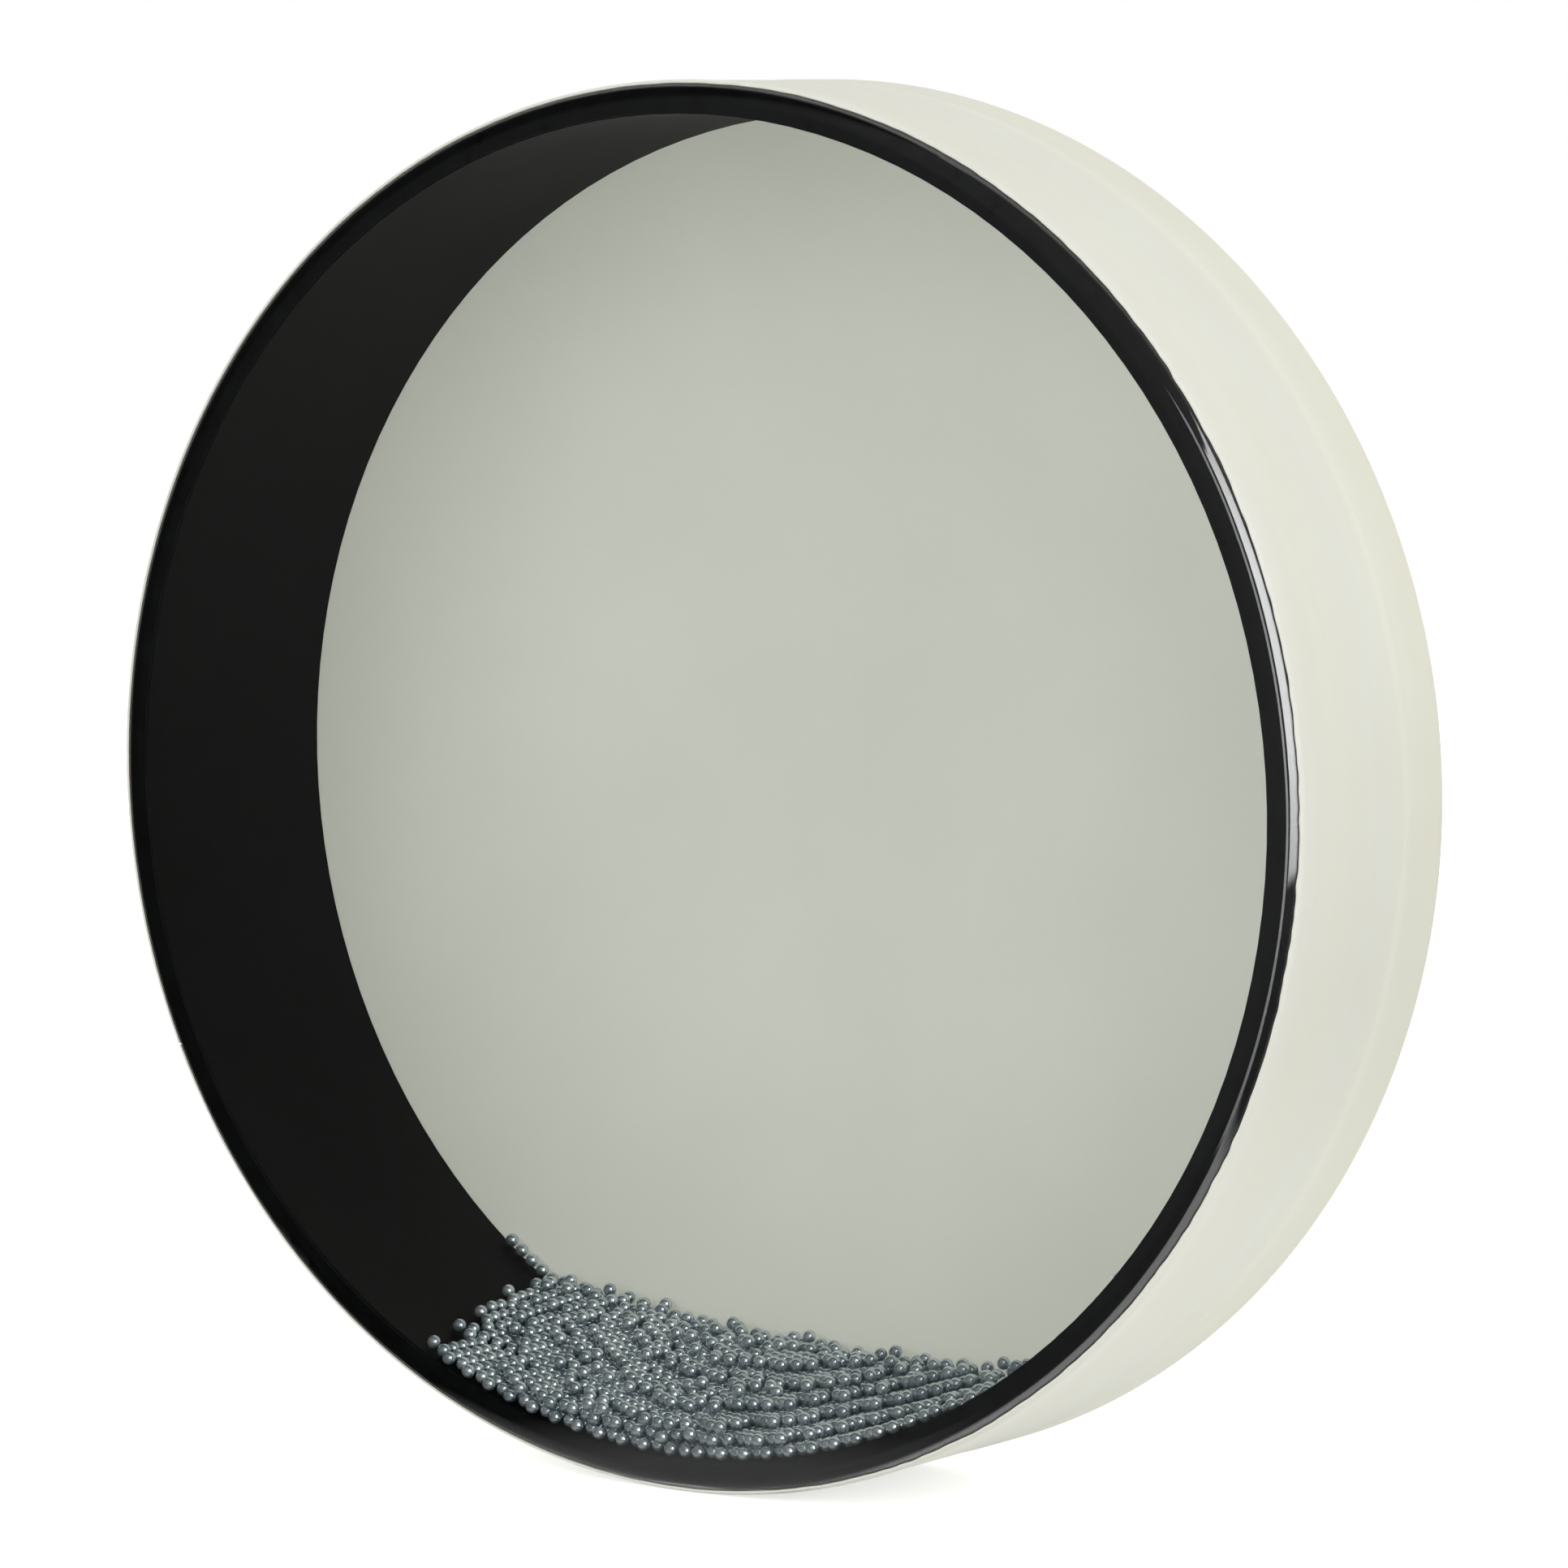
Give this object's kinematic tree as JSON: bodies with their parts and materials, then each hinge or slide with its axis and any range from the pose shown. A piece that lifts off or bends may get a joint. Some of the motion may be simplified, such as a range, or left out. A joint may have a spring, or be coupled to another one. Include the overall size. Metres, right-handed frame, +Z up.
{
  "type": "ocean drum",
  "caption": "Shallow round frame drum closed by a clear film in front and a white film behind, with loose steel beads that roll inside it and sound like surf.",
  "frame": {"origin": "lowest point of the side cover, midway between the two heads, so that the drum stands on its rim at Z = 0", "axes": "+Y along the drum's axis from the clear front head to the white rear head, +Z up, +X to the right as seen from the front"},
  "size_m": [0.3048, 0.065, 0.3048],
  "materials": {
    "shell_laminate": "black painted wood-fibre laminate",
    "cover_sheet": "satin cream sheet",
    "clear_film": "clear glossy polyester film",
    "white_film": "milky white polyester film",
    "adhesive": "cured black adhesive",
    "bead_steel": "bright polished steel"
  },
  "bodies": {
    "drum": {"shell": "shell_laminate", "shell_cover": "cover_sheet", "front_head": "clear_film", "rear_head": "white_film", "front_bond": "adhesive", "rear_bond": "adhesive"},
    "heap": {"bead_heap": "bead_steel"},
    "string": {"bead_string": "bead_steel"}
  },
  "joints": [
    {"name": "heap_roll", "type": "hinge", "parent": "drum", "child": "heap", "pos_m": [0, 0, 0.1524], "axis": [0, 1, 0], "continuous": true},
    {"name": "string_roll", "type": "hinge", "parent": "heap", "child": "string", "pos_m": [0, 0, 0.1524], "axis": [0, 1, 0], "range_deg": [0, 272]}
  ]
}
